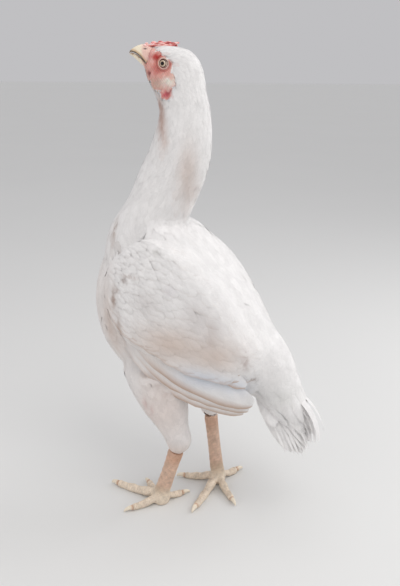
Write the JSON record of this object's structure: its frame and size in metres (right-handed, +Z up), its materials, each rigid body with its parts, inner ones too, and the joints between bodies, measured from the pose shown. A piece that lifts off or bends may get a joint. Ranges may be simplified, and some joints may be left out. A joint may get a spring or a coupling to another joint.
{
  "type": "aseel chicken",
  "caption": "Life-size still model of a white aseel chicken standing upright with its head turned, pea comb, folded wings, drooping tail and scaled legs.",
  "frame": {"origin": "middle of the bird's bounding box in plan, on the floor that its toes stand on", "axes": "+Z up, -Y the way the trunk faces, +X the bird's left"},
  "size_m": [0.1588, 0.3058, 0.6062],
  "materials": {
    "plumage": "soft white body feathers",
    "flight_feathers": "smooth white vanes with tan shadow at the edges",
    "face": "bare red skin with fine wrinkles",
    "comb": "knobbly red skin",
    "horn": "pale horn",
    "claws": "pale horn",
    "scales": "tan scales, dusty",
    "eye": "wet"
  },
  "bodies": {
    "root": {"torso": "plumage", "neck": "plumage", "thigh_left": "plumage", "thigh_right": "plumage", "wing_left": "flight_feathers", "wing_right": "flight_feathers", "tail": "flight_feathers", "head": "face", "comb": "comb", "beak_upper": "horn", "beak_lower": "horn", "eye_left": "eye", "eye_right": "eye", "shank_left": "scales", "shank_right": "scales", "foot_left": "scales", "foot_right": "scales", "claw_left_inner": "claws", "claw_left_middle": "claws", "claw_left_outer": "claws", "claw_left_hind": "claws", "claw_right_inner": "claws", "claw_right_middle": "claws", "claw_right_outer": "claws", "claw_right_hind": "claws"}
  },
  "joints": []
}
